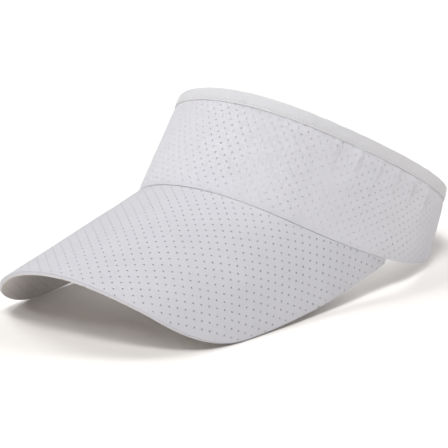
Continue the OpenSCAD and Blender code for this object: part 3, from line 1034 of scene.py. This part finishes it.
def bartack(name, node, angle, high, depth):
    """Dense short stitches across a strap."""
    at = crown_s(angle)
    heights = np.arange(STRAP_LOW + 2, high, 0.42)
    rows = [(np.array([[at - 1.03, h], [at + 1.03, h + 0.25]]), depth, 1) for h in heights]
    stitches(name, node, rows, 2.05, 2.0, 0.17)


def tape_grid(start, stop, inset, pitch, rise):
    """Points in rows over the face of a tape."""
    heights = np.arange(TAPE_LOW + inset, TAPE_LOW + 17.8, rise)
    return np.stack(np.meshgrid(np.arange(start, stop, pitch), heights), -1).reshape(-1, 2)


def pile(name, spots, material, body, bow, r, sides):
    """Small bent fibres on a tape. bow(k) is the (along, across, inward) line of each one."""
    turns = np.arange(sides) * 2 * math.pi / sides
    tubes = []
    base, inward = on_crown(spots)
    s_ahead = unit(on_crown(spots + [0.5, 0])[0] - base)
    upward = np.array([0.0, 0, 1])
    for k, (c, n, t) in enumerate(zip(base, inward, s_ahead, strict=True)):
        line = bow(k)
        centre = c + line[:, :1] * t + line[:, 1:2] * upward + line[:, 2:] * n
        ahead = unit(np.gradient(centre, axis=0))
        aside = unit(np.cross(ahead, np.cross(t, n) * 0.7 + t * 0.3 + n * 0.2))
        third = np.cross(ahead, aside)
        ring = centre[:, None] + r * (
            np.cos(turns)[None, :, None] * aside[:, None]
            + np.sin(turns)[None, :, None] * third[:, None]
        )
        tubes.append((ring, np.tile(spots[k], (len(line) * sides, 1))))
    fibres(name, tubes, material, body)


STRAP_SHAPE = STRAP_LOW, STRAP_W, STRAP_CORNER_R
TAPE_SHAPE = TAPE_LOW, TAPE_W, 1.2


def hook_strap():
    root, tip = crown_s((HOOK_ROOT, HOOK_TIP))
    layer = HOOK_STRAP_OUT, STRAP_T, strap_material
    strap = webbing("hook_strap_webbing", tip, root, *STRAP_SHAPE, *layer, None, "crown_cloth")
    hinge = wall(PEEL_ANGLE + np.array([-1.3, 1.3]), 32, -1.2)
    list(to_world(hinge).tolist())
    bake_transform(strap)
    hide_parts("hook_strap", "hook_strap_root")
    start, stop = crown_s(HOOK_TAPE)
    layer = HOOK_TAPE_OUT, TAPE_T, hook_material, "hook_strap", "hook_strap_webbing"
    tape = webbing("hook_tape_base", stop, start, *TAPE_SHAPE, *layer)
    pitch, rise = 1.75, 1.55
    spots = tape_grid(start + 2.6, stop - 2.3, 2.6, pitch, rise)
    way = np.where(np.round((spots[:, 1] - TAPE_LOW) / rise) % 2 == 0, 1, -1)
    jog = np.random.default_rng(7).uniform(-0.12, 0.12, (len(spots), 2))
    turn = np.linspace(0, 200, 6)

    def hook(k):
        stem = np.array([[0, 0, 0.0], [0, 0, 0.3]])
        curl = np.stack([way[k] * 0.26 * (1 - cos(turn)), 0 * turn, 0.36 + 0.26 * sin(turn)], 1)
        return np.concatenate([stem, curl]) + [0, 0, HOOK_TAPE_OUT + 0.33]

    pile("hook_tape_hooks", spots + jog, hook_material, "hook_strap", hook, 0.085, 5)
    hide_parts("hook_tape")
    rows = tape_rows(HOOK_TAPE, HOOK_STRAP_OUT, 1)
    stitches("hook_tape_stitches", "hook_tape_stitching", rows, 2.5, 1.9, body="hook_strap")
    top = STRAP_LOW + STRAP_W - 2
    bartack("hook_strap_tack", "hook_strap_bartack", PEEL_ANGLE - 4, top, HOOK_STRAP_OUT)


def loop_strap():
    root, tip = crown_s((LOOP_ROOT, LOOP_TIP))
    layer = LOOP_STRAP_OUT, STRAP_T, strap_material, "loop_strap", "crown_lining_cloth"
    strap = webbing("loop_strap_webbing", tip, root, *STRAP_SHAPE, *layer)
    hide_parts("loop_strap")
    start, stop = crown_s(LOOP_TAPE)
    tape_out = LOOP_STRAP_OUT - 0.4
    layer = tape_out, TAPE_T, loop_material, "loop_strap", "loop_strap_webbing"
    tape = webbing("loop_tape_base", start, stop, *TAPE_SHAPE, *layer)
    rng = np.random.default_rng(8)
    spots = tape_grid(start + 2.4, stop - 2.2, 2.4, 1.05, 1.15)
    spots += rng.uniform(-0.45, 0.45, spots.shape)
    turns, sizes = rng.uniform(0, 360, len(spots)), rng.uniform(0.4, 0.85, len(spots))
    arch = np.linspace(0, 180, 6)

    def loop(k):
        w = 0.45 * cos(arch)
        height = sizes[k] * sin(arch)
        return np.stack([w * cos(turns[k]), w * sin(turns[k]), tape_out + 0.03 - height], 1)

    pile("loop_tape_loops", spots, loop_material, "loop_strap", loop, 0.07, 4)
    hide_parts("loop_tape")
    rows = tape_rows(LOOP_TAPE, LOOP_STRAP_OUT + STRAP_T, -1)
    stitches("loop_tape_stitches", "loop_tape_stitching", rows, 2.5, 1.9, body="loop_strap")
    top = TOP_HEIGHTS[2] - BINDING_H - 1
    bartack("loop_strap_tack", "loop_strap_bartack", -(CROWN_END - 3), top, 0.0)


hook_strap()
loop_strap()

# ---- Care label ----

LABEL_X, LABEL_T = wall(-90, LABEL_TOP, LINING_IN + 0.95)[0], 0.16


def care_label():
    """A satin ribbon whose upper end is caught under the binding; it hangs with a slight curl."""
    half, tucked = LABEL_W / 2, 1.9
    y = np.linspace(-half, half, 21)
    z = np.linspace(LABEL_TOP - LABEL_L, LABEL_TOP + tucked, 25)
    across, up = np.meshgrid(y, z, indexing="ij")
    above = np.clip((up - LABEL_TOP + 0.6) / (tucked + 0.6), 0, 1)
    base = wall(-90 - np.degrees(across / SIDE_R), up, 1.5)[..., 0]
    below = np.clip((LABEL_TOP - up) / LABEL_L, 0, 1)
    twist = 0.1 * np.sin(below * 3) * across / half
    x = LABEL_X + 0.15 + 0.12 * below * np.cos(across / half * 2.4) + twist
    x = x * (1 - above) + base * above
    n, m = x.shape
    k = np.arange(n * m).reshape(n, m)
    quads = np.stack([k[:-1, :-1], k[1:, :-1], k[1:, 1:], k[:-1, 1:]], -1).reshape(-1, 4)
    triangles = np.concatenate([quads[:, [0, 1, 2]], quads[:, [0, 2, 3]]])
    inward = np.tile([1.0, 0, 0], (n * m, 1))
    front = np.stack([x, across, up], -1).reshape(-1, 3)
    cut = front[:, 1:], triangles
    faces = front, front + LABEL_T * inward
    ribbon = thick_cloth("care_label_ribbon", cut, *faces, inward, label_material, None)
    hinge = np.array([[LABEL_X, 0, LABEL_TOP + rise] for rise in (0.8, -1.2)])
    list(to_world(hinge).tolist())
    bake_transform(ribbon)
    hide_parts("care_label")
    s = crown_s(-90) + np.linspace(1 - half, half - 1, 30)
    rows = [(np.stack([s, np.full(30, LABEL_TOP + 1.5)], 1), 2.5, -1)]
    stitches("label_stitches", "label_stitching", rows, 2.2, 1.7, 0.16)


care_label()

# ---- Stage ----

# Broad soft lights: turn and height in degrees, strength, spread in degrees
LIGHTS = {
    "left_light": (-92, 60, 0.95, 32),
    "key_light": (-30, 36, 0.72, 16),
    "front_light": (28, 53, 1.55, 16),
    "rear_light": (145, 55, 1.0, 36),
}


def floor():
    half, below = 6.0, 0.0002
    mesh = bpy.data.meshes.new("floor")
    corners = [(-half, -half, 0), (half, -half, 0), (half, half, 0), (-half, half, 0)]
    mesh.from_pydata(corners, [], [(0, 1, 2, 3)])
    n = Nodes("floor_white", Roughness=0.95, Specular_IOR_Level=0.1)
    n.shader.inputs["Base Color"].default_value = (0.95, 0.925, 0.90, 1)
    mesh.materials.append(n.material)
    made = link("floor", mesh)
    made.location.z = -below


def surroundings():
    """Even light from above, and white just over the horizon, where a camera may see it."""
    world = bpy.data.worlds.new("studio")
    world.use_nodes = True
    nodes, links = world.node_tree.nodes, world.node_tree.links
    kinds = ("TexCoord", "SeparateXYZ", "MapRange")
    coordinates, parts, ramp = (nodes.new("ShaderNode" + kind) for kind in kinds)
    for key, value in {"From Min": 0.05, "From Max": 0.15, "To Min": 1.0, "To Max": 0.11}.items():
        ramp.inputs[key].default_value = value
    links.new(coordinates.outputs["Generated"], parts.inputs["Vector"])
    links.new(parts.outputs["Z"], ramp.inputs["Value"])
    background = nodes["Background"]
    background.inputs["Color"].default_value = (1, 1, 1, 1)
    links.new(ramp.outputs["Result"], background.inputs["Strength"])
    bpy.context.scene.world = world


def towards(turn, height):
    """Direction from the visor: turned to the right of its front, and up from the floor."""
    return np.array([sin(turn) * cos(height), -cos(turn) * cos(height), sin(height)])


def lamp(name, turn, height, strength, spread):
    light = bpy.data.lights.new(name, "SUN")
    light.energy, light.angle = strength, math.radians(spread)
    turned = Vector(-towards(turn, height)).to_track_quat("-Z", "Y")
    made = link(name, light)
    made.rotation_mode = "QUATERNION"
    made.rotation_quaternion = turned


def camera():
    """A long lens, a little above the visor and to its left front quarter."""
    turn, height, distance, picture, focal_pixels = 37.5, 13.83, 1427, 448, 2411
    back = towards(turn, height)
    right = np.array([cos(turn), sin(turn), 0])
    up = np.cross(back, right)
    data = bpy.data.cameras.new("camera")
    data.sensor_width = 36
    data.lens = data.sensor_width * focal_pixels / picture
    data.clip_end = 100
    made = link("camera", data)
    made.location = ORIGIN + MM * (-38.18 * right - 0.78 * up + distance * back)
    made.rotation_mode = "QUATERNION"
    made.rotation_quaternion = Matrix(np.stack([right, up, back], 1).tolist()).to_quaternion()
    bpy.context.scene.camera = made
    bpy.context.scene.view_settings.view_transform = "Standard"


floor()
surroundings()
for name, settings in LIGHTS.items():
    lamp(name, *settings)
camera()
